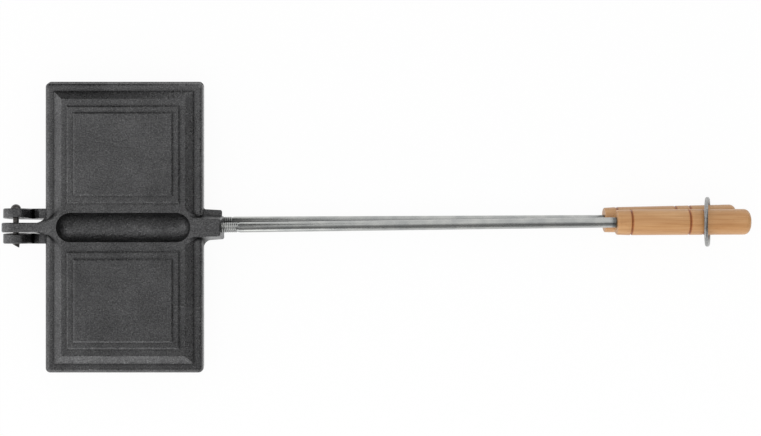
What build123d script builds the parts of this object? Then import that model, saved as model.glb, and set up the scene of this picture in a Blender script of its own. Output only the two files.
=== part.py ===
# Double sandwich iron for two toasted sandwiches over a fire, closed and locked.
# Millimetres. +X runs from the hinge to the handles, +Z is up, and the origin is
# at the middle of the bottom of the whole iron's box.
from build123d import *
import os
from math import acos, asin, atan, atan2, cos, degrees, hypot, radians, sin, tan

os.makedirs("parts", exist_ok=True)

# Cast body, alike on both halves. Heights run outwards from the parting face.
body_x = 149.1
body_y = 274.2
hinge_setback = 29.4
parting_gap = 0.3
corner_round = 4.5
flange_height = 13.0
flange_round = 5.0
flange_draft = 1.5
frame_inset = 8.5
frame_height = 7.0
frame_run = 8.0
frame_edge_round = 1.0
step_height = 1.2
step_run = 1.7
first_border_x = 4.9
first_border_y = 6.3
second_border = 4.5
trough_border = 8.6
trough_second_border = 5.2
trough_radius = 13.8
trough_length = 126.2

# Inside of the body: two bread pockets parted by a ridge under the trough
wall = 4.3
rim_width = 10.0
pocket_draft = 5.0
pocket_corner_round = 8.0

# Hinge: one arm on the upper half between two ears on the lower half
arm_width = 9.2
arm_radius = 13.5
ear_width = 9.2
ear_radius = 12.0
ear_slot = 15.0
ear_slot_draft = 5.0
arm_flare_rim = 12.0
arm_flare_top = 19.0
ear_flare_rim = 2.0
ear_flare_top = 14.0
neck_setback = 7.5
neck_clearance = 1.0
neck_valley_setback = 14.4
neck_valley_depth = 6.0
slot_setback = 3.8
knuckle_chamfer = 0.9
hinge_drift = 1.5

# Hinge pin, a soft rivet with a hammered dome and a slanted, cut-off tail
pin_diameter = 5.6
pin_running_fit = 0.08
pin_seat_fit = 0.02
pin_head_diameter = 9.9
pin_head_height = 4.1
pin_tail_diameter = 7.0
pin_tail_height = 4.0
pin_tail_draft = 6.0
pin_tail_slant = 30.0

# Handle sockets cast on the outer end of each half
upper_socket_length = 19.3
lower_socket_length = 17.3
socket_root_width = 23.4
socket_end_width = 21.8
socket_draft = 8.0
upper_socket_flare_rim = 7.5
lower_socket_flare_rim = 2.0
socket_flare_top = 9.5
socket_edge_round = 1.8
lower_socket_shift = 4.3

# Rods, alike, each screwed into its socket
rod_diameter = 9.6
rod_length = 450.0
rod_height = 12.5
rod_chamfer = 0.8
rod_thread_fit = 0.05
rod_bore_depth = 30.0
upper_rod_engagement = 22.1
lower_rod_engagement = 26.8
upper_rod_skew = 0.76
lower_rod_skew = 0.25

# Turned wooden handles, alike, pushed over the rods
handle_diameter = 24.2
handle_nose_diameter = 23.4
handle_length = 125.4
handle_nose_chamfer = 0.9
handle_end_round = 5.8
handle_bore_depth = 58.0
handle_bore_fit = 0.05
upper_handle_tilt = -0.5
lower_handle_tilt = 1.05
groove_width = 1.8
groove_depth = 0.8
groove_distances = (11.7, 67.0, 82.0)

# Locking ring, an oval of wire that leans on the two handles
ring_wire = 3.6
ring_width = 47.0
ring_lean = 17.0
ring_clearance = 2.0
ring_station_share = 0.711
ring_sideways = 1.5
ring_wire_sides = 12

# Steps that draw the rounding of a turned or hammered end
round_steps = 4

cut_overrun = 2.0

# Places worked out from the sizes above, measured from the hinge pin
platform_height = flange_height + frame_height
platform_inset = frame_inset + frame_run
platform_x = body_x - 2 * platform_inset
platform_y = body_y - 2 * platform_inset
body_middle_x = hinge_setback + body_x / 2
body_end_x = hinge_setback + body_x
upper_mouth_x = body_end_x + upper_socket_length
lower_mouth_x = body_end_x + lower_socket_length
frame_taper = degrees(atan(frame_run / frame_height))
step_taper = degrees(atan(step_run / step_height))
ears_width = ear_slot + 2 * ear_width
wood_start = rod_length - handle_bore_depth

# The ring's place along the upper handle, and its own long half axis, found from its
# lean over the two handles
ring_station = upper_mouth_x + wood_start - upper_rod_engagement
ring_station += ring_station_share * handle_length
ring_wire_height = rod_height + handle_diameter / 2 + ring_clearance + ring_wire / 2
ring_half_length = ring_wire_height / cos(radians(ring_lean))
ring_arc_radius = (ring_width - ring_wire) / 2

# The whole iron's box is centred on X = 0 and Y = 0 and stands on Z = 0
upper_handle_end = upper_mouth_x + cos(radians(upper_rod_skew)) * (
    wood_start - upper_rod_engagement + handle_length
)
hinge_x = arm_radius - (arm_radius + upper_handle_end) / 2
parting_z = ring_wire_height + ring_wire / 2
upper_face = Plane(
    (hinge_x, -hinge_drift / 2, parting_z), x_dir=(1, 0, 0), z_dir=(0, 0, 1)
)
lower_face = Plane(
    (hinge_x, hinge_drift / 2, parting_z), x_dir=(1, 0, 0), z_dir=(0, 0, -1)
)


def in_face(face, x, y, z):
    """The point at x, y, z in a half's own directions, z outwards."""
    return face.origin + face.x_dir * x + face.y_dir * y + face.z_dir * z


def side_plane(face):
    """A half's lengthwise upright plane through the hinge pin, y outwards."""
    return Plane(face.origin, x_dir=face.x_dir, z_dir=face.x_dir.cross(face.z_dir))


def rod_plane(face, mouth_x, shift, skew):
    """The plane across a rod's axis at its socket's mouth, z towards the handle."""
    mouth = in_face(face, mouth_x, 0, rod_height) + Vector(0, shift, 0)
    along = Vector(cos(radians(skew)), sin(radians(skew)), 0)
    return Plane(mouth, x_dir=(0, 0, 1), z_dir=along)


def rounding(middle_x, middle_y, radius, start, end):
    """Points along an arc of a turned outline, from its start angle to its end angle."""
    turns = [radians(start + (end - start) * step / round_steps) for step in range(round_steps + 1)]
    return [(middle_x + radius * cos(turn), middle_y + radius * sin(turn)) for turn in turns]


upper_rod_axis = rod_plane(upper_face, upper_mouth_x, 0, upper_rod_skew)
lower_rod_axis = rod_plane(lower_face, lower_mouth_x, lower_socket_shift, lower_rod_skew)

# Cast lugs: the hinge blocks and the handle sockets


def tongue_outline(inner_x, edge_x, end_x, root_half, end_half, flare):
    """Plan of a tongue that opens in two concave arcs where it meets an edge."""
    out = 1 if end_x > edge_x else -1
    shoulder_x = edge_x + out * flare
    wide = root_half + flare
    nick_x = shoulder_x - out * flare * cos(radians(45))
    nick_y = wide - flare * sin(radians(45))
    Line((inner_x, wide), (inner_x, -wide))
    Line((inner_x, -wide), (edge_x, -wide))
    ThreePointArc((edge_x, -wide), (nick_x, -nick_y), (shoulder_x, -root_half))
    Line((shoulder_x, -root_half), (end_x, -end_half))
    Line((end_x, -end_half), (end_x, end_half))
    Line((end_x, end_half), (shoulder_x, root_half))
    ThreePointArc((shoulder_x, root_half), (nick_x, nick_y), (edge_x, wide))
    Line((edge_x, wide), (inner_x, wide))


def tangent_point(point, radius, turn):
    """Where a line from the point touches a circle about the hinge pin."""
    x, z = point
    angle = atan2(z, x) + turn * acos(radius / hypot(x, z))
    return (radius * cos(angle), radius * sin(angle))


def neck_outline(radius, root_x):
    """Side view of a knuckle about the pin, a valley behind it and the neck to the body."""
    high = (hinge_setback + platform_inset, platform_height)
    valley = (hinge_setback - neck_valley_setback, neck_valley_depth)
    Circle(radius)
    Polygon(
        tangent_point(valley, radius, -1),
        valley,
        (hinge_setback - neck_setback, neck_clearance),
        (root_x, neck_clearance),
        (root_x, platform_height),
        high,
        tangent_point(high, radius, 1),
        align=None,
    )


def hinge_block(face, radius, half_width, flare_rim, flare_top):
    """A knuckle and neck that widen into the body at its rim and its platform."""
    side = side_plane(face)
    platform_edge = hinge_setback + platform_inset
    root_x = platform_edge + frame_edge_round
    with BuildPart() as neck:
        with BuildSketch(side):
            neck_outline(radius, root_x)
        extrude(amount=half_width, both=True)
        chamfer(neck.edges().filter_by(GeomType.CIRCLE), knuckle_chamfer)
    sections = (
        (parting_gap / 2, hinge_setback, flare_rim),
        (platform_height, platform_edge, flare_top),
    )
    with BuildPart() as block:
        for height, edge_x, flare in sections:
            end_x = edge_x - flare - knuckle_chamfer
            with BuildSketch(face.offset(height)):
                with BuildLine():
                    tongue_outline(root_x, edge_x, end_x, half_width, half_width, flare)
                make_face()
        loft(ruled=True)
        with BuildSketch(side):
            neck_outline(radius, root_x)
        extrude(amount=half_width + flare_top, both=True, mode=Mode.INTERSECT)
        add(neck.part)
    return block.part


def socket_block(face, mouth_x, shift, flare_rim):
    """A tapered boss with a flat top that flares into the body's outer end."""
    draft_run = platform_height * tan(radians(socket_draft))
    root_x = body_end_x - platform_inset - frame_edge_round
    sections = (
        (parting_gap / 2, body_end_x, 0, flare_rim),
        (platform_height, body_end_x - platform_inset, draft_run, socket_flare_top),
    )
    with BuildPart() as block:
        for height, edge_x, draw_in, flare in sections:
            with BuildSketch(face.shift_origin(in_face(face, 0, shift, 0)).offset(height)):
                with BuildLine():
                    tongue_outline(
                        root_x,
                        edge_x,
                        mouth_x - draw_in,
                        socket_root_width / 2 - draw_in,
                        socket_end_width / 2 - draw_in,
                        flare,
                    )
                make_face()
        loft(ruled=True)
        mouth = block.faces().sort_by(Axis(face.origin, face.x_dir))[-1]
        fillet(mouth.edges().sort_by(Axis(face.origin, face.z_dir))[1:], socket_edge_round)
    return block.part


# The cast halves


def wall_shift(run, height):
    """How far a slope's top corner moves in on the inside of an even wall."""
    return wall * (hypot(run, height) - run) / height


def step_fields(step, shift):
    """Middles and sizes of the raised fields on either side of the trough."""
    inset = shift + step * (step_run + second_border)
    trough_inset = shift + step * (step_run + trough_second_border)
    size_x = platform_x - 2 * (first_border_x + inset)
    low_y = trough_radius + trough_border + trough_inset
    high_y = platform_y / 2 - first_border_y - inset
    for side in (-1, 1):
        yield side * (low_y + high_y) / 2, size_x, high_y - low_y


def pocket_core(face):
    """The two pockets inside a half: drafted sides, then a slope and steps as outside."""
    middle = face.shift_origin(in_face(face, body_middle_x, 0, 0))
    top_inset = platform_inset + wall_shift(frame_run, frame_height)
    step_inset = wall_shift(step_run, step_height)
    ceiling = platform_height - wall
    slope = frame_run / frame_height
    draft = tan(radians(pocket_draft))
    wall_height = (rim_width - top_inset + slope * ceiling) / (slope - draft)
    slope_inset = rim_width + wall_height * draft
    with BuildPart() as core:
        with BuildSketch(middle):
            RectangleRounded(
                body_x - 2 * rim_width, body_y - 2 * rim_width, pocket_corner_round
            )
        extrude(amount=wall_height, taper=pocket_draft)
        with BuildSketch(middle.offset(wall_height)):
            RectangleRounded(
                body_x - 2 * slope_inset,
                body_y - 2 * slope_inset,
                pocket_corner_round - wall_height * draft,
            )
        extrude(amount=ceiling - wall_height, taper=frame_taper)
        for step in (0, 1):
            with BuildSketch(middle.offset(ceiling + step * step_height)):
                for field_y, size_x, size_y in step_fields(step, step_inset):
                    with Locations((0, field_y)):
                        Rectangle(size_x, size_y)
            extrude(amount=step_height, taper=step_taper)
        # The ridge that is left standing between the two pockets
        ridge_start = middle.origin + middle.z_dir * platform_height
        with BuildSketch(Plane(ridge_start, x_dir=face.y_dir, z_dir=face.x_dir)):
            with BuildLine():
                CenterArc((0, 0), trough_radius + wall, 180, 180)
                Line((trough_radius + wall, 0), (-trough_radius - wall, 0))
            make_face()
        extrude(amount=body_x / 2, both=True, mode=Mode.SUBTRACT)
    return core.part


def half_shell(face, lugs, slotted, pin_bore, rod_axis):
    """One cast half: stepped outside, two pockets inside, hinge lugs and socket."""
    outward = Axis(face.origin, face.z_dir)
    middle = face.shift_origin(in_face(face, body_middle_x, 0, 0))
    with BuildPart() as shell:
        # Flange with drafted sides and a rounded shoulder
        with BuildSketch(middle.offset(parting_gap / 2)):
            RectangleRounded(body_x, body_y, corner_round)
        extrude(amount=flange_height - parting_gap / 2, taper=flange_draft)
        fillet(shell.faces().sort_by(outward)[-1].edges(), flange_round)
        # Sloped frame with mitred corners, up to the platform
        with BuildSketch(middle.offset(flange_height)):
            Rectangle(body_x - 2 * frame_inset, body_y - 2 * frame_inset)
        extrude(amount=frame_height, taper=frame_taper)
        fillet(shell.faces().sort_by(outward)[-1].edges(), frame_edge_round)
        # Two steps up to each panel
        for step in (0, 1):
            with BuildSketch(middle.offset(platform_height + step * step_height)):
                for field_y, size_x, size_y in step_fields(step, 0):
                    with Locations((0, field_y)):
                        Rectangle(size_x, size_y)
            extrude(amount=step_height, taper=step_taper)
        for lug in lugs:
            add(lug)
        add(pocket_core(face), mode=Mode.SUBTRACT)
        # Round-ended trough in the back of the ridge between the pockets
        trough = middle.offset(platform_height)
        bend = trough_length / 2 - trough_radius
        with BuildSketch(trough):
            with BuildLine():
                Line((-trough_length / 2, 0), (trough_length / 2, 0))
                CenterArc((bend, 0), trough_radius, 0, 90)
                Line((bend, trough_radius), (-bend, trough_radius))
                CenterArc((-bend, 0), trough_radius, 90, 90)
            make_face()
        revolve(axis=Axis(trough.origin, face.x_dir), mode=Mode.SUBTRACT)
        # Slot between the ears, pin bore and rod bore
        if slotted:
            slot_end = hinge_setback - slot_setback
            slot_start = -ear_radius - cut_overrun
            slot_floor = platform_height + cut_overrun
            floor_width = ear_slot - 2 * slot_floor * tan(radians(ear_slot_draft))
            floor_middle = in_face(face, (slot_start + slot_end) / 2, 0, slot_floor)
            with BuildSketch(Plane(floor_middle, x_dir=face.x_dir, z_dir=-face.z_dir)):
                Rectangle(slot_end - slot_start, floor_width)
            extrude(
                amount=slot_floor + ear_radius + cut_overrun,
                taper=-ear_slot_draft,
                mode=Mode.SUBTRACT,
            )
        with BuildSketch(side_plane(face)):
            Circle(pin_bore / 2)
        extrude(amount=ears_width / 2 + cut_overrun, both=True, mode=Mode.SUBTRACT)
        with BuildSketch(rod_axis.offset(-rod_bore_depth)):
            Circle(rod_diameter / 2 + rod_thread_fit)
        extrude(amount=rod_bore_depth + cut_overrun, mode=Mode.SUBTRACT)
    return shell.part


upper_shell = half_shell(
    upper_face,
    (
        hinge_block(upper_face, arm_radius, arm_width / 2, arm_flare_rim, arm_flare_top),
        socket_block(upper_face, upper_mouth_x, 0, upper_socket_flare_rim),
    ),
    False,
    pin_diameter + 2 * pin_running_fit,
    upper_rod_axis,
)
upper_shell.label = "upper_shell"
export_step(upper_shell, "parts/upper_shell.step")

lower_shell = half_shell(
    lower_face,
    (
        hinge_block(lower_face, ear_radius, ears_width / 2, ear_flare_rim, ear_flare_top),
        socket_block(lower_face, lower_mouth_x, -lower_socket_shift, lower_socket_flare_rim),
    ),
    True,
    pin_diameter + 2 * pin_seat_fit,
    lower_rod_axis,
)
lower_shell.label = "lower_shell"
export_step(lower_shell, "parts/lower_shell.step")

# Hinge pin, lying along Y through the ears
pin_middle = lower_face.origin
pin_plane = Plane(pin_middle, x_dir=(1, 0, 0), z_dir=(0, 1, 0))
head_base = pin_middle + Vector(0, ears_width / 2, 0)
tail_tip = pin_middle - Vector(0, ears_width / 2 + pin_tail_height, 0)
dome_radius = ((pin_head_diameter / 2) ** 2 + pin_head_height**2) / (2 * pin_head_height)
dome_start = degrees(asin((dome_radius - pin_head_height) / dome_radius))
with BuildPart() as hinge_pin:
    with BuildSketch(pin_plane.offset(-ears_width / 2)):
        Circle(pin_diameter / 2)
    extrude(amount=ears_width)
    with BuildSketch(Plane(head_base, x_dir=(1, 0, 0), z_dir=(0, 0, 1))):
        with BuildLine():
            Polyline(
                (0, 0),
                *rounding(0, pin_head_height - dome_radius, dome_radius, dome_start, 90),
                close=True,
            )
        make_face()
    revolve(axis=Axis(head_base, (0, 1, 0)))
    with BuildSketch(pin_plane.offset(-ears_width / 2)):
        Circle(pin_tail_diameter / 2)
    extrude(amount=-pin_tail_height, taper=pin_tail_draft)
    cut_corner = tail_tip + Vector(pin_tail_diameter / 2, 0, 0)
    slant_normal = Vector(-sin(radians(pin_tail_slant)), -cos(radians(pin_tail_slant)), 0)
    split(bisect_by=Plane(cut_corner, z_dir=slant_normal), keep=Keep.BOTTOM)
hinge_pin.part.label = "hinge_pin"
export_step(hinge_pin.part, "parts/hinge_pin.step")

# Rods and handles


def straight_rod(axis, engagement):
    """A round rod that starts inside its socket, chamfered at both ends."""
    with BuildPart() as rod:
        with BuildSketch(axis.offset(-engagement)):
            Circle(rod_diameter / 2)
        extrude(amount=rod_length)
        chamfer(rod.faces().filter_by(GeomType.PLANE).edges(), rod_chamfer)
    return rod.part


def turned_handle(axis, engagement, tilt):
    """A turned grip with burnt-in grooves, its bore a little out of line with it."""
    nose = axis.offset(wood_start - engagement)
    along = nose.z_dir.rotate(Axis.Z, tilt)
    section = Plane(nose.origin, x_dir=along, z_dir=along.cross(Vector(0, 0, 1)))
    grip = handle_diameter / 2
    nose_radius = handle_nose_diameter / 2
    shoulder = handle_length - handle_end_round
    with BuildPart() as handle:
        with BuildSketch(section):
            with BuildLine():
                Polyline(
                    *rounding(shoulder, grip - handle_end_round, handle_end_round, 0, 90),
                    (groove_distances[0], grip),
                    (handle_nose_chamfer, nose_radius),
                    (0, nose_radius - handle_nose_chamfer),
                    (0, 0),
                    (handle_length, 0),
                    close=True,
                )
            make_face()
            for distance in groove_distances:
                with Locations((distance, grip)):
                    Polygon(
                        (-groove_width / 2, groove_depth),
                        (-groove_width / 2, 0),
                        (0, -groove_depth),
                        (groove_width / 2, 0),
                        (groove_width / 2, groove_depth),
                        align=None,
                        mode=Mode.SUBTRACT,
                    )
        revolve(axis=Axis(section.origin, section.x_dir))
        with BuildSketch(nose.offset(-cut_overrun)):
            Circle(rod_diameter / 2 + handle_bore_fit)
        bore = cut_overrun + handle_bore_depth + rod_chamfer
        extrude(amount=bore, mode=Mode.SUBTRACT)
    return handle.part


rod_sets = (
    ("upper", upper_rod_axis, upper_rod_engagement, upper_handle_tilt),
    ("lower", lower_rod_axis, lower_rod_engagement, lower_handle_tilt),
)
for half, rod_axis, engagement, tilt in rod_sets:
    rod = straight_rod(rod_axis, engagement)
    rod.label = half + "_rod"
    export_step(rod, "parts/" + rod.label + ".step")
    handle = turned_handle(rod_axis, engagement, tilt)
    handle.label = half + "_handle"
    export_step(handle, "parts/" + handle.label + ".step")


# Locking ring


def axis_y(axis):
    """Where a rod's axis runs at the ring, across the iron."""
    along = hinge_x + ring_station - axis.origin.X
    return axis.origin.Y + along * axis.z_dir.Y / axis.z_dir.X


ring_y = (axis_y(upper_rod_axis) + axis_y(lower_rod_axis)) / 2 - ring_sideways
ring_plane = Plane(
    (hinge_x + ring_station, ring_y, parting_z),
    x_dir=(0, 1, 0),
    z_dir=(cos(radians(ring_lean)), 0, sin(radians(ring_lean))),
)
ring_bend = ring_half_length - ring_arc_radius
with BuildPart() as locking_ring:
    with BuildSketch(Plane(ring_plane.origin, x_dir=ring_plane.x_dir, z_dir=ring_plane.y_dir)):
        with Locations((-ring_arc_radius, 0), (ring_arc_radius, 0)):
            RegularPolygon(ring_wire / 2, ring_wire_sides, rotation=180 / ring_wire_sides)
    extrude(amount=ring_bend, both=True)
    for side in (-1, 1):
        bend_middle = ring_plane.origin + ring_plane.y_dir * side * ring_bend
        bend_start = Plane(bend_middle, x_dir=ring_plane.x_dir, z_dir=ring_plane.y_dir * side)
        with BuildSketch(bend_start):
            with Locations((ring_arc_radius, 0)):
                RegularPolygon(ring_wire / 2, ring_wire_sides, rotation=180 / ring_wire_sides)
        revolve(axis=Axis(bend_middle, -bend_start.y_dir), revolution_arc=180)
locking_ring.part.label = "locking_ring"
export_step(locking_ring.part, "parts/locking_ring.step")
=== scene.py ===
"""Looks of the double sandwich iron: seasoned castings, screwed rods, beech grips and ring."""
from math import cos, pi, radians, sin

import bpy
from mathutils import Matrix, Vector


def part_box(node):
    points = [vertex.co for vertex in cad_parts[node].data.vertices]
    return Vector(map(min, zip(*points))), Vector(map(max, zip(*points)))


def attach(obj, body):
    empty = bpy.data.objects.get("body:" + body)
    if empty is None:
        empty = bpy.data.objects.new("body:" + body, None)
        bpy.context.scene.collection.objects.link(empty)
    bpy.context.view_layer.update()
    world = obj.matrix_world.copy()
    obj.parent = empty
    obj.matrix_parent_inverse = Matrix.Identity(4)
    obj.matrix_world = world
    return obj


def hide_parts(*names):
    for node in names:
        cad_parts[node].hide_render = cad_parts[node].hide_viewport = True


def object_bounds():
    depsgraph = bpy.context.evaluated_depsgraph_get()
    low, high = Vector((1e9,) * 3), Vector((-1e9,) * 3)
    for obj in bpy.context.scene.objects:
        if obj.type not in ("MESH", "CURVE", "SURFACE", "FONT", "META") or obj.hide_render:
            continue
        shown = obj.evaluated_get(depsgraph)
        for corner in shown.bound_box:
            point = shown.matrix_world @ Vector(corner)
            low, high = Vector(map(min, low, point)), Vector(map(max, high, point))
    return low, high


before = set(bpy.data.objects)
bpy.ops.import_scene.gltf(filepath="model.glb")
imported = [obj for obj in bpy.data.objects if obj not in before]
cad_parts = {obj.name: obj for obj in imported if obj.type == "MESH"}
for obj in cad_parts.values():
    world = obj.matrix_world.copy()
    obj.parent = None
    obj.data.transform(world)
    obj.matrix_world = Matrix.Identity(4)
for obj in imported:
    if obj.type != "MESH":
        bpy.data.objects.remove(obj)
cad_low, cad_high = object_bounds()

MM = 0.001


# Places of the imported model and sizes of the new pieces, in millimetres and degrees.
# X runs from the hinge to the grips' ends, near is -Y and far is +Y, and Z is up.

# Hinge, parting plane and mouths of the sockets
arm_radius = 13.5
hinge_x = cad_low.x / MM + arm_radius
parting_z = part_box("upper_shell")[0].z / MM + arm_radius
upper_mouth_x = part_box("upper_shell")[1].x / MM
lower_mouth_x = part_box("lower_shell")[1].x / MM

# Rods: height from the parting plane, place across, turn, and depth in the socket
rod_height = 12.5
upper_rod_y, upper_rod_turn = -0.75, 0.76
lower_rod_y, lower_rod_turn = 5.05, 0.25
upper_engagement, lower_engagement = 22.1, 26.8
rod_diameter = 9.6
rod_length = 450.0
rod_chamfer = 0.8
rod_sides = 64
rod_shade_angle = 35

# Thread: a blunt ridge on a thinner stretch of the rod, which ends in a short cone
thread_length = 35.5
thread_pitch = 1.8
thread_depth = 0.6
thread_cone = 2.4
ridge_sides = 6
ridge_steps = 40
ridge_half_share = 0.49
ridge_sunk = 0.1

# Grips: their start along the rod, their turn, and the grooves' places from the nose
wood_start = 392.0
upper_grip_turn, lower_grip_turn = 0.26, 1.30
upper_grooves = (13.3, 67.8, 81.5)
lower_grooves = (11.7, 67.8, 81.5)
grip_diameter = 24.2
grip_nose_diameter = 23.4
grip_length = 125.4
grip_nose_chamfer = 0.9
grip_nose_steps = 4
grip_end_round = 5.8
grip_end_steps = 9
grip_bore_depth = 58.0
grip_bore_fit = 0.05
grip_bore_lip = 0.5
grip_sides = 72
grip_shade_angle = 28

# A groove's outline: share of its width from the middle, share of its depth
groove_width = 1.8
groove_depth = 0.8
groove_outline = ((-0.75, 0), (-0.5, 0.12), (-0.16, 0.9), (0, 1),
                  (0.16, 0.9), (0.5, 0.12), (0.75, 0))

# Locking ring, and its weld bead: share of the straight side's length, size of the wire
ring_wire = 3.6
ring_half_width = 21.7
ring_half_length = 29.7
ring_lean = 17.0
ring_sides = 28
ring_bend_steps = 32
ring_shade_angle = 60
weld_outline = ((0.40, 1.0), (0.46, 1.10), (0.50, 1.06), (0.54, 1.13), (0.60, 1.0), (1.0, 1.0))

# Points of one mesh that lie nearer than this are made one
thread_merge = 0.002
ring_merge = 0.02


# Small helpers


def deselect():
    """Leaves nothing selected and no object in edit mode."""
    if bpy.context.object and bpy.context.object.mode != "OBJECT":
        bpy.ops.object.mode_set(mode="OBJECT")
    bpy.ops.object.select_all(action="DESELECT")


def pick(piece):
    """Makes one piece the only selected and active object."""
    deselect()
    piece.select_set(True)
    bpy.context.view_layer.objects.active = piece


def twin(piece, name):
    """A copy of a piece, with its own mesh."""
    pick(piece)
    bpy.ops.object.duplicate()
    copy = bpy.context.object
    copy.name = name
    return copy


def settle(piece, place, shade_angle):
    """Puts a finished piece's place into its mesh and shades it smooth up to an angle."""
    pick(piece)
    piece.matrix_world = place
    bpy.ops.object.transform_apply(location=True, rotation=True, scale=True)
    bpy.ops.object.shade_smooth_by_angle(angle=radians(shade_angle))


def laid_along(start, turn):
    """The place of a piece that was made along X from the origin, turned about Z."""
    return Matrix.Translation(start) @ Matrix.Rotation(radians(turn), 4, "Z")


def tint(code):
    """A linear colour from an sRGB hex value."""
    channels = [int(code[i:i + 2], 16) / 255 for i in (1, 3, 5)]
    line = [c / 12.92 if c <= 0.04045 else ((c + 0.055) / 1.055) ** 2.4 for c in channels]
    return (*line, 1.0)


def grey(level):
    """A plain number as a colour, for a ramp's stop or a light."""
    return (level, level, level, 1.0)


def node(tree, kind, settings=None, links=None):
    """Adds a node, with values by property or socket name, ramp stops and links."""
    made = tree.nodes.new(kind)
    for name, value in (settings or {}).items():
        if name == "stops":
            bar = made.color_ramp.elements
            while len(bar) < len(value):
                bar.new(1.0)
            for element, (position, colour) in zip(bar, value):
                element.position, element.color = position, colour
        elif isinstance(name, int) or name in made.inputs:
            made.inputs[name].default_value = value
        else:
            setattr(made, name, value)
    for name, source in (links or {}).items():
        tree.links.new(source, made.inputs[name])
    return made


def new_material(name, settings, links_of):
    """A material whose main shader has these values, and links made by a function."""
    made = bpy.data.materials.new(name)
    made.use_nodes = True
    tree = made.node_tree
    tree.nodes.clear()
    place = node(tree, "ShaderNodeTexCoord").outputs["Object"]
    shader = node(tree, "ShaderNodeBsdfPrincipled", settings, links_of(tree, place))
    node(tree, "ShaderNodeOutputMaterial", links={"Surface": shader.outputs["BSDF"]})
    return made


# Materials. The sizes of their patterns are in millimetres, and a stretch of 0.04 draws a
# pattern out along X to 25 times its width.

MULTIPLY = {"data_type": "RGBA", "blend_type": "MULTIPLY", "Factor": 1.0}


def cast_skin(tree, place):
    """Seasoned cast iron: dark grey, pebbled by the mould's sand, with painted shade in the
    corners.
    """
    # Moulding sand is some 0.3 mm, too fine to show, so its grain is drawn coarser
    sand_grain, sand_height = 1.2, 0.35
    pebble, pebble_height = 3.0, 0.5
    # Pooled and worn oil film
    oil_patch = 30
    # Painted shade darkens every inside corner, over this width
    corner_shade_width = 3
    # Edges of a sand casting are never sharp
    edge_round = 0.25
    grain = node(tree, "ShaderNodeTexNoise", {"Scale": 1 / (sand_grain * MM), "Detail": 3.0,
                 "Roughness": 0.65}, {"Vector": place}).outputs["Fac"]
    pebbles = node(tree, "ShaderNodeTexNoise", {"Scale": 1 / (pebble * MM), "Detail": 2.0},
                   {"Vector": place}).outputs["Fac"]
    film = node(tree, "ShaderNodeTexNoise", {"Scale": 1 / (oil_patch * MM), "Detail": 4.0,
                "Roughness": 0.55}, {"Vector": place}).outputs["Fac"]
    skin = node(tree, "ShaderNodeValToRGB", {"stops": (
        (0.32, tint("#4a4a4b")), (0.50, tint("#646465")), (0.68, tint("#828282")))},
        {"Fac": grain})
    worn = node(tree, "ShaderNodeValToRGB", {"stops": (
        (0.35, tint("#e2e2e2")), (0.68, tint("#ffffff")))}, {"Fac": film})
    worn_skin = node(tree, "ShaderNodeMix", MULTIPLY,
                     {6: skin.outputs["Color"], 7: worn.outputs["Color"]})
    # Painted shade: ambient occlusion darkens the colour in inside corners and the trough, where
    # shade falls
    nook = node(tree, "ShaderNodeAmbientOcclusion", {"samples": 8, "only_local": True,
                "Distance": corner_shade_width * MM}).outputs["AO"]
    painted_corner_shade = node(tree, "ShaderNodeValToRGB", {"stops": (
        (0.60, tint("#4c4c4c")), (0.85, tint("#8e8e8e")), (0.945, tint("#ffffff")))},
        {"Fac": nook})
    colour = node(tree, "ShaderNodeMix", MULTIPLY,
                  {6: worn_skin.outputs[2], 7: painted_corner_shade.outputs["Color"]})
    gloss = node(tree, "ShaderNodeValToRGB", {"stops": ((0.3, grey(0.24)), (0.7, grey(0.40)))},
                 {"Fac": pebbles})
    eased = node(tree, "ShaderNodeBevel", {"samples": 6, "Radius": edge_round * MM})
    fine = node(tree, "ShaderNodeBump", {"Strength": 1.0, "Distance": sand_height * MM},
                {"Height": grain, "Normal": eased.outputs["Normal"]})
    coarse = node(tree, "ShaderNodeBump", {"Strength": 0.8, "Distance": pebble_height * MM},
                  {"Height": pebbles, "Normal": fine.outputs["Normal"]})
    return {"Base Color": colour.outputs[2], "Roughness": gloss.outputs["Color"],
            "Normal": coarse.outputs["Normal"]}


def plated_skin(tree, place):
    """Zinc-plated drawn bar: light grey with fine lengthwise draw lines."""
    # Draw lines are far finer than this, and are drawn as wide as it takes to show
    draw_line, draw_depth, draw_stretch = 0.7, 0.03, 0.02
    # Dull bloom of the zinc
    bloom_patch = 14
    # The bar that lies close above shades this one in a darker line
    shading_reach = 30
    stretched = node(tree, "ShaderNodeMapping", {"Scale": (draw_stretch, 1.0, 1.0)},
                     {"Vector": place})
    draw = node(tree, "ShaderNodeTexNoise", {"Scale": 1 / (draw_line * MM), "Detail": 3.0},
                {"Vector": stretched.outputs["Vector"]}).outputs["Fac"]
    bloom = node(tree, "ShaderNodeTexNoise", {"Scale": 1 / (bloom_patch * MM), "Detail": 3.0},
                 {"Vector": place}).outputs["Fac"]
    zinc = node(tree, "ShaderNodeValToRGB", {"stops": (
        (0.35, tint("#a6a8a7")), (0.70, tint("#bdbebb")))}, {"Fac": bloom})
    near = node(tree, "ShaderNodeAmbientOcclusion", {"samples": 40,
                "Distance": shading_reach * MM}).outputs["AO"]
    shade = node(tree, "ShaderNodeValToRGB", {"stops": (
        (0.78, tint("#a8a8a8")), (0.86, tint("#ffffff")))}, {"Fac": near})
    colour = node(tree, "ShaderNodeMix", MULTIPLY,
                  {6: zinc.outputs["Color"], 7: shade.outputs["Color"]})
    gloss = node(tree, "ShaderNodeValToRGB", {"stops": ((0.3, grey(0.16)), (0.7, grey(0.28)))},
                 {"Fac": draw})
    bump = node(tree, "ShaderNodeBump", {"Strength": 0.2, "Distance": draw_depth * MM},
                {"Height": draw})
    return {"Base Color": colour.outputs[2], "Roughness": gloss.outputs["Color"],
            "Normal": bump.outputs["Normal"]}


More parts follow.
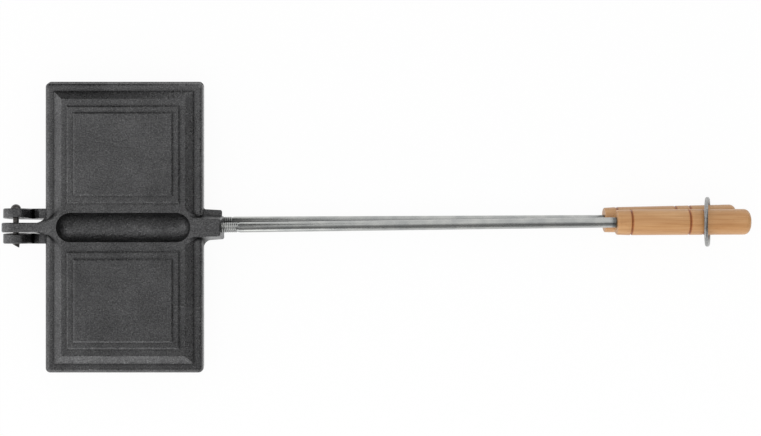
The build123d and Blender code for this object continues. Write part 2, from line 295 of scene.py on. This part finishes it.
def wire_skin(tree, place):
    """Plain drawn steel wire: scuffed, duller and greyer than the plated bars."""
    scuff_size, scuff_depth = 2.2, 0.05
    scuff = node(tree, "ShaderNodeTexNoise", {"Scale": 1 / (scuff_size * MM), "Detail": 4.0},
                 {"Vector": place}).outputs["Fac"]
    colour = node(tree, "ShaderNodeValToRGB", {"stops": (
        (0.3, tint("#8a8b8b")), (0.7, tint("#b6b6b4")))}, {"Fac": scuff})
    gloss = node(tree, "ShaderNodeValToRGB", {"stops": ((0.3, grey(0.42)), (0.7, grey(0.26)))},
                 {"Fac": scuff})
    bump = node(tree, "ShaderNodeBump", {"Strength": 0.3, "Distance": scuff_depth * MM},
                {"Height": scuff})
    return {"Base Color": colour.outputs["Color"], "Roughness": gloss.outputs["Color"],
            "Normal": bump.outputs["Normal"]}


def rivet_skin(tree, place):
    """Soft rivet steel, darkened by scale, with the dents of the hammer."""
    hammer_dent, dent_depth = 2.4, 0.35
    scale_patch = 1.1
    dents = node(tree, "ShaderNodeTexVoronoi", {"Scale": 1 / (hammer_dent * MM)},
                 {"Vector": place}).outputs["Distance"]
    scale = node(tree, "ShaderNodeTexNoise", {"Scale": 1 / (scale_patch * MM), "Detail": 3.0},
                 {"Vector": place}).outputs["Fac"]
    colour = node(tree, "ShaderNodeValToRGB", {"stops": (
        (0.35, tint("#454341")), (0.70, tint("#7d7a77")))}, {"Fac": scale})
    gloss = node(tree, "ShaderNodeValToRGB", {"stops": ((0.3, grey(0.5)), (0.7, grey(0.35)))},
                 {"Fac": scale})
    bump = node(tree, "ShaderNodeBump", {"Strength": 0.7, "Distance": dent_depth * MM},
                {"Height": dents})
    return {"Base Color": colour.outputs["Color"], "Roughness": gloss.outputs["Color"],
            "Normal": bump.outputs["Normal"]}


def beech_skin(nose, turn, seed, grooves):
    """Varnished beech along a grip that starts at its nose and is turned about Z.

    It gives warm tan wood with long streaks, short dark flecks and burnt grooves.
    """
    # Growth rings, seen as long streaks
    streak_width, streak_height, streak_stretch = 2.0, 0.08, 0.04
    # Lighter and darker stretches of the wood
    broad_patch, broad_stretch = 16, 0.25
    # Ray flecks of beech: one in every 1.6 by 5 mm, and itself about 0.5 by 1.5 mm
    fleck_gap, fleck_stretch = 1.6, 0.3
    # Scorch to each side of a groove's middle, darkest in its bottom
    scorch_reach = 2.6

    def links_of(tree, place):
        own = node(tree, "ShaderNodeMapping", {"vector_type": "TEXTURE", "Location": nose,
                   "Rotation": (0.0, 0.0, radians(turn))}, {"Vector": place}).outputs["Vector"]
        piece = node(tree, "ShaderNodeMapping", {"Location": (seed, seed * 0.7, seed * 1.3)},
                     {"Vector": own}).outputs["Vector"]
        long = node(tree, "ShaderNodeMapping", {"Scale": (streak_stretch, 1.0, 1.0)},
                    {"Vector": piece})
        streak = node(tree, "ShaderNodeTexNoise", {"Scale": 1 / (streak_width * MM),
                      "Detail": 4.0, "Roughness": 0.6, "Distortion": 0.3},
                      {"Vector": long.outputs["Vector"]})
        wide = node(tree, "ShaderNodeMapping", {"Scale": (broad_stretch, 1.0, 1.0)},
                    {"Vector": piece})
        broad = node(tree, "ShaderNodeTexNoise", {"Scale": 1 / (broad_patch * MM),
                     "Detail": 2.0}, {"Vector": wide.outputs["Vector"]})
        short = node(tree, "ShaderNodeMapping", {"Scale": (fleck_stretch, 1.0, 1.0)},
                     {"Vector": piece})
        ray = node(tree, "ShaderNodeTexVoronoi", {"Scale": 1 / (fleck_gap * MM)},
                   {"Vector": short.outputs["Vector"]})
        grain = node(tree, "ShaderNodeValToRGB", {"stops": (
            (0.30, tint("#b88a59")), (0.50, tint("#c79866")), (0.72, tint("#d3a979")))},
            {"Fac": streak.outputs["Fac"]})
        tone = node(tree, "ShaderNodeValToRGB", {"stops": (
            (0.35, tint("#ebdfd0")), (0.70, tint("#ffffff")))}, {"Fac": broad.outputs["Fac"]})
        fleck = node(tree, "ShaderNodeValToRGB", {"stops": (
            (0.02, tint("#d8bb9f")), (0.14, tint("#ffffff")))}, {"Fac": ray.outputs["Distance"]})
        toned = node(tree, "ShaderNodeMix", MULTIPLY,
                     {6: grain.outputs["Color"], 7: tone.outputs["Color"]})
        wood = node(tree, "ShaderNodeMix", MULTIPLY,
                    {6: toned.outputs[2], 7: fleck.outputs["Color"]})
        along = node(tree, "ShaderNodeSeparateXYZ", links={0: own}).outputs["X"]
        for groove in grooves:
            offset = node(tree, "ShaderNodeMath", {"operation": "SUBTRACT", 1: groove * MM},
                          {0: along})
            reach = node(tree, "ShaderNodeMath", {"operation": "ABSOLUTE"},
                         {0: offset.outputs[0]})
            share = node(tree, "ShaderNodeMath", {"operation": "DIVIDE", 1: scorch_reach * MM},
                         {0: reach.outputs[0]})
            scorch = node(tree, "ShaderNodeValToRGB", {"stops": (
                (0.12, tint("#b58560")), (0.34, tint("#e6c6a4")), (0.70, tint("#ffffff")))},
                {"Fac": share.outputs[0]})
            wood = node(tree, "ShaderNodeMix", MULTIPLY,
                        {6: wood.outputs[2], 7: scorch.outputs["Color"]})
        bump = node(tree, "ShaderNodeBump", {"Strength": 0.2, "Distance": streak_height * MM},
                    {"Height": streak.outputs["Fac"]})
        return {"Base Color": wood.outputs[2], "Normal": bump.outputs["Normal"]}

    return links_of


# Turned bodies: rods with a rolled thread, and grips


def turned(name, stations, sides):
    """A body turned about X: a filled circle, extruded and sized from station to station."""
    place, size = stations[0]
    deselect()
    bpy.ops.mesh.primitive_circle_add(vertices=sides, radius=size * MM, fill_type="NGON",
                                      location=(place * MM, 0, 0), rotation=(0, pi / 2, 0))
    body = bpy.context.object
    body.name = name
    bpy.ops.object.transform_apply(location=True, rotation=True, scale=True)
    bpy.ops.object.mode_set(mode="EDIT")
    bpy.ops.mesh.select_all(action="SELECT")
    for next_place, next_size in stations[1:]:
        step = (next_place - place) * MM
        bpy.ops.mesh.extrude_region_move(TRANSFORM_OT_translate={"value": (step, 0, 0)})
        bpy.ops.transform.resize(value=(1, next_size / size, next_size / size),
                                 center_override=(next_place * MM, 0, 0))
        place, size = next_place, next_size
    bpy.ops.mesh.select_all(action="SELECT")
    bpy.ops.mesh.normals_make_consistent(inside=False)
    bpy.ops.object.mode_set(mode="OBJECT")
    return body


def screwed_rod(name):
    """A bar along X from the origin, with a helical thread on its first stretch."""
    radius = rod_diameter / 2
    root = radius - thread_depth
    bar = turned(name, (
        (0.0, root - rod_chamfer), (rod_chamfer, root), (thread_length, root),
        (thread_length + thread_cone, radius), (rod_length - rod_chamfer, radius),
        (rod_length, radius - rod_chamfer),
    ), rod_sides)
    # Thread ridge: a small blunt ring of edges beside the bar, screwed along it
    foot = root - ridge_sunk
    deselect()
    bpy.ops.mesh.primitive_circle_add(vertices=ridge_sides, radius=MM, rotation=(pi / 2, 0, 0),
                                      location=(thread_pitch / 2 * MM, 0, foot * MM))
    ridge = bpy.context.object
    ridge.name = name + "_thread"
    ridge.scale = (ridge_half_share * thread_pitch, radius - foot, 1)
    bpy.ops.object.transform_apply(location=True, rotation=True, scale=True)
    screw = ridge.modifiers.new("thread", "SCREW")
    screw.axis = "X"
    screw.screw_offset = thread_pitch * MM
    screw.iterations = int(thread_length / thread_pitch)
    screw.steps = screw.render_steps = ridge_steps
    bpy.ops.object.modifier_apply(modifier="thread")
    bpy.ops.object.mode_set(mode="EDIT")
    bpy.ops.mesh.select_all(action="SELECT")
    bpy.ops.mesh.remove_doubles(threshold=thread_merge * MM)
    bpy.ops.mesh.fill_holes(sides=ridge_sides)
    bpy.ops.mesh.normals_make_consistent(inside=False)
    bpy.ops.object.mode_set(mode="OBJECT")
    bar.select_set(True)
    bpy.context.view_layer.objects.active = bar
    bpy.ops.object.join()
    return bar


def arc(middle_x, middle_r, radius, start, end, count):
    """Stations along an arc of a turned outline, angles in degrees from the X axis."""
    angles = [radians(start + (end - start) * i / count) for i in range(count + 1)]
    return [(middle_x + radius * cos(a), middle_r + radius * sin(a)) for a in angles]


def turned_grip(name, grooves):
    """A grip along X from its nose, begun in its bore, with eased grooves and a domed end."""
    radius = grip_diameter / 2
    nose = grip_nose_diameter / 2
    bore = rod_diameter / 2 + grip_bore_fit
    shoulder = grip_length - grip_end_round
    stations = [(grip_bore_depth, bore), (grip_bore_lip, bore), (0.0, bore + grip_bore_lip)]
    stations += arc(grip_nose_chamfer, nose - grip_nose_chamfer, grip_nose_chamfer,
                    180, 90, grip_nose_steps)
    for groove in grooves:
        for share, sink in groove_outline:
            stations.append((groove + share * groove_width, radius - sink * groove_depth))
    stations += arc(shoulder, radius - grip_end_round, grip_end_round, 90, 0, grip_end_steps)
    return turned(name, stations, grip_sides)


# Locking ring


def oval_ring(name, middle):
    """An oval of round wire with a weld bead on one straight side, leaned over X."""
    bend = ring_half_length - ring_half_width
    deselect()
    bpy.ops.mesh.primitive_circle_add(vertices=ring_sides, radius=ring_wire / 2 * MM,
                                      location=(ring_half_width * MM, -bend * MM, 0),
                                      rotation=(pi / 2, 0, 0))
    ring = bpy.context.object
    ring.name = name
    bpy.ops.object.transform_apply(location=True, rotation=True, scale=True)
    bpy.ops.object.mode_set(mode="EDIT")
    bpy.ops.mesh.select_all(action="SELECT")
    # Straight side with the weld: short extrusions, the middle ones swollen
    last, size = 0.0, 1.0
    for share, next_size in weld_outline:
        bpy.ops.mesh.extrude_region_move(
            TRANSFORM_OT_translate={"value": (0, (share - last) * 2 * bend * MM, 0)})
        bpy.ops.transform.resize(
            value=(next_size / size,) * 3,
            center_override=(ring_half_width * MM, (share * 2 - 1) * bend * MM, 0))
        last, size = share, next_size
    # First bend, the other straight side, and the bend that closes the oval
    bpy.ops.mesh.spin(steps=ring_bend_steps, angle=-pi, center=(0, bend * MM, 0),
                      axis=(0, 0, 1))
    bpy.ops.mesh.extrude_region_move(TRANSFORM_OT_translate={"value": (0, -2 * bend * MM, 0)})
    bpy.ops.mesh.spin(steps=ring_bend_steps, angle=-pi, center=(0, -bend * MM, 0),
                      axis=(0, 0, 1))
    bpy.ops.mesh.select_all(action="SELECT")
    bpy.ops.mesh.remove_doubles(threshold=ring_merge * MM)
    bpy.ops.mesh.normals_make_consistent(inside=False)
    bpy.ops.object.mode_set(mode="OBJECT")
    # The oval lies in X-Y as made: its width goes to Y, its length to Z, then it leans
    width_to_y = Matrix(((0, 0, 1, 0), (1, 0, 0, 0), (0, 1, 0, 0), (0, 0, 0, 1)))
    lean = Matrix.Rotation(-radians(ring_lean), 4, "Y")
    settle(ring, Matrix.Translation(middle) @ lean @ width_to_y, ring_shade_angle)
    return ring


# Everything is made and put in its place

iron = new_material("seasoned_cast_iron", {"Metallic": 0.95}, cast_skin)
plated = new_material("zinc_plated_bar", {"Metallic": 1.0}, plated_skin)
wire = new_material("drawn_steel_wire", {"Metallic": 1.0}, wire_skin)
rivet = new_material("hammered_rivet_steel", {"Metallic": 0.85}, rivet_skin)

for kept, metal in (("upper_shell", iron), ("lower_shell", iron), ("hinge_pin", rivet)):
    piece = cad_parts[kept]
    piece.data.materials.clear()
    piece.data.materials.append(metal)

# Satin varnish, and how far each grip's grain is moved so that the two differ
varnish = {"Roughness": 0.42, "Coat Weight": 0.2, "Coat Roughness": 0.3}
grain_shift = 0.31

rod_pattern = screwed_rod("rod_pattern")
halves = (
    ("upper", upper_mouth_x, upper_rod_y, upper_rod_turn, upper_engagement, upper_grip_turn,
     upper_grooves, 1),
    ("lower", lower_mouth_x, lower_rod_y, lower_rod_turn, lower_engagement, lower_grip_turn,
     lower_grooves, -1),
)
for half, mouth_x, rod_y, turn, engagement, grip_turn, grooves, side in halves:
    ahead = Vector((cos(radians(turn)), sin(radians(turn)), 0))
    mouth = Vector((mouth_x, rod_y, parting_z + side * rod_height))
    rod = twin(rod_pattern, half + "_screwed_rod")
    rod.data.materials.append(plated)
    settle(rod, laid_along((mouth - ahead * engagement) * MM, turn), rod_shade_angle)
    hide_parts(half + "_rod")
    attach(rod, half)
    nose = (mouth + ahead * (wood_start - engagement)) * MM
    grip = turned_grip(half + "_turned_grip", grooves)
    beech = new_material(half + "_varnished_beech", varnish,
                         beech_skin(nose, grip_turn, grain_shift * side, grooves))
    grip.data.materials.append(beech)
    settle(grip, laid_along(nose, grip_turn), grip_shade_angle)
    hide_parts(half + "_handle")
    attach(grip, half)
bpy.data.objects.remove(rod_pattern)

ring_low, ring_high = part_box("locking_ring")
ring = oval_ring("oval_ring", (ring_low + ring_high) / 2)
ring.data.materials.append(wire)
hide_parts("locking_ring")
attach(ring, "ring")


# Studio: pale floor, white beyond it, soft light from above, the near side and the hinge's
# side. Its places and sizes are in metres.

floor_size = 9.0
floor_drop = 0.3 * MM
# Coarser than real paper, whose tooth wouldn't show
paper_tooth = 4 * MM
# Share of plain white in what the eye and reflections see of the paper
paper_glow = 0.94
# The sky's strength as the object's light, and as what the eye and reflections see
sky_light, sky_seen = 0.70, 1.0


def paper_material():
    """Matt white paper: white to the eye, with only a faint shadow of the object."""
    made = bpy.data.materials.new("white_paper")
    made.use_nodes = True
    tree = made.node_tree
    tree.nodes.clear()
    place = node(tree, "ShaderNodeTexCoord").outputs["Object"]
    tooth = node(tree, "ShaderNodeTexNoise", {"Scale": 1 / paper_tooth}, {"Vector": place})
    colour = node(tree, "ShaderNodeValToRGB", {"stops": (
        (0.3, tint("#f4f4f4")), (0.7, tint("#fafafa")))}, {"Fac": tooth.outputs["Fac"]})
    paper = node(tree, "ShaderNodeBsdfDiffuse", links={"Color": colour.outputs["Color"]})
    glow = node(tree, "ShaderNodeEmission", {"Color": grey(1.0), "Strength": 1.0})
    rays = node(tree, "ShaderNodeLightPath")
    seen = node(tree, "ShaderNodeMath", {"operation": "MAXIMUM"},
                {0: rays.outputs["Is Camera Ray"], 1: rays.outputs["Is Glossy Ray"]})
    share = node(tree, "ShaderNodeMath", {"operation": "MULTIPLY", 1: paper_glow},
                 {0: seen.outputs[0]})
    mixed = node(tree, "ShaderNodeMixShader", links={
        0: share.outputs[0], 1: paper.outputs["BSDF"], 2: glow.outputs["Emission"]})
    node(tree, "ShaderNodeOutputMaterial", links={"Surface": mixed.outputs["Shader"]})
    return made


deselect()
bpy.ops.mesh.primitive_grid_add(x_subdivisions=8, y_subdivisions=8, size=floor_size,
                                location=(0, 0, cad_low.z - floor_drop))
floor = bpy.context.object
floor.name = "paper_floor"
floor.data.materials.append(paper_material())

world = bpy.data.worlds.new("white_studio")
bpy.context.scene.world = world
world.use_nodes = True
sky = world.node_tree
sky.nodes.clear()
rays = node(sky, "ShaderNodeLightPath")
seen = node(sky, "ShaderNodeMath", {"operation": "MAXIMUM"},
            {0: rays.outputs["Is Camera Ray"], 1: rays.outputs["Is Glossy Ray"]})
dim = node(sky, "ShaderNodeBackground", {"Color": grey(1.0), "Strength": sky_light})
white = node(sky, "ShaderNodeBackground", {"Color": grey(1.0), "Strength": sky_seen})
both = node(sky, "ShaderNodeMixShader", links={
    0: seen.outputs[0], 1: dim.outputs["Background"], 2: white.outputs["Background"]})
node(sky, "ShaderNodeOutputWorld", links={"Surface": both.outputs["Shader"]})


def soft_lamp(name, place, aim, size, power):
    """A rectangular soft box that faces a point; reflections see the cards instead of it."""
    lamp = bpy.data.lights.new(name, "AREA")
    lamp.shape = "RECTANGLE"
    lamp.size, lamp.size_y = size
    lamp.energy = power
    holder = bpy.data.objects.new(name, lamp)
    bpy.context.scene.collection.objects.link(holder)
    holder.location = place
    holder.visible_glossy = False
    holder.rotation_euler = (Vector(aim) - Vector(place)).to_track_quat("-Z", "Y").to_euler()


soft_lamp("overhead_soft_box", (-0.1, -0.5, 2.6), (0, 0, 0), (2.4, 1.6), 22)
soft_lamp("near_side_soft_box", (-0.5, -1.5, 0.30), (-0.2, 0, 0), (2.6, 0.5), 9)
soft_lamp("hinge_side_soft_box", (-1.7, 0.0, 0.35), (-0.2, 0, 0), (1.4, 0.5), 4)


def studio_card(name, place, turn, size, shade):
    """A card that only reflections see, as set up beside bright metal in a studio."""
    deselect()
    bpy.ops.mesh.primitive_grid_add(x_subdivisions=4, y_subdivisions=4, size=1.0, location=place,
                                    rotation=(radians(turn[0]), radians(turn[1]), 0))
    card = bpy.context.object
    card.name = name
    card.scale = (size[0], size[1], 1.0)
    made = bpy.data.materials.new(name)
    made.use_nodes = True
    made.node_tree.nodes.clear()
    glow = node(made.node_tree, "ShaderNodeEmission", {"Color": grey(1.0), "Strength": shade})
    node(made.node_tree, "ShaderNodeOutputMaterial", links={"Surface": glow.outputs[0]})
    card.data.materials.append(made)
    card.visible_camera = False
    card.visible_diffuse = False
    card.visible_shadow = False
    card.visible_transmission = False


# Metal is as light as what it faces: the ceiling and the dark cards set the grey of level
# and sloping faces, and the two bright cards light the near and the hinge's slopes
studio_card("ceiling_card", (-0.3, 0.0, 2.3), (0, 0), (1.6, 1.4), 0.50)
studio_card("near_dark_card", (0.2, -0.64, 1.0), (0, 0), (1.6, 1.02), 0.25)
studio_card("rod_dark_card", (0.35, -1.3, 0.70), (-90, 0), (1.1, 0.7), 0.30)
studio_card("far_dark_card", (-0.63, 0.80, 0.55), (45, 0), (0.88, 1.53), 0.08)
studio_card("far_grey_card", (-0.66, 0.98, 1.3), (0, 0), (0.40, 1.2), 0.15)
studio_card("near_grey_card", (-0.76, -1.3, 1.03), (-90, 0), (0.6, 0.84), 0.10)
studio_card("grip_dark_card", (0.95, 0.0, 0.6), (0, -90), (1.1, 1.0), 0.05)
studio_card("near_bright_card", (-0.75, -1.3, 0.29), (-90, 0), (1.1, 0.62), 2.0)
studio_card("hinge_bright_card", (-1.4, 0.38, 0.24), (0, 90), (0.46, 1.1), 1.35)


# Camera: straight down onto the rods, some 70 mm beyond the sockets, and shifted so that
# the whole iron is framed. Its place is in millimetres.

camera_height = 1480.0
camera_ahead = 269.8
camera_aside = -7.7
view = bpy.data.cameras.new("overhead_view")
camera = bpy.data.objects.new("overhead_view", view)
bpy.context.scene.collection.objects.link(camera)
camera.location = Vector((hinge_x + camera_ahead, camera_aside, parting_z + camera_height)) * MM
view.sensor_width = 36.0
view.lens = 73.7
view.shift_x = 0.1058
view.shift_y = 0.0223
view.clip_start, view.clip_end = 0.01, 50
bpy.context.scene.camera = camera

bpy.context.scene.view_settings.view_transform = "Standard"
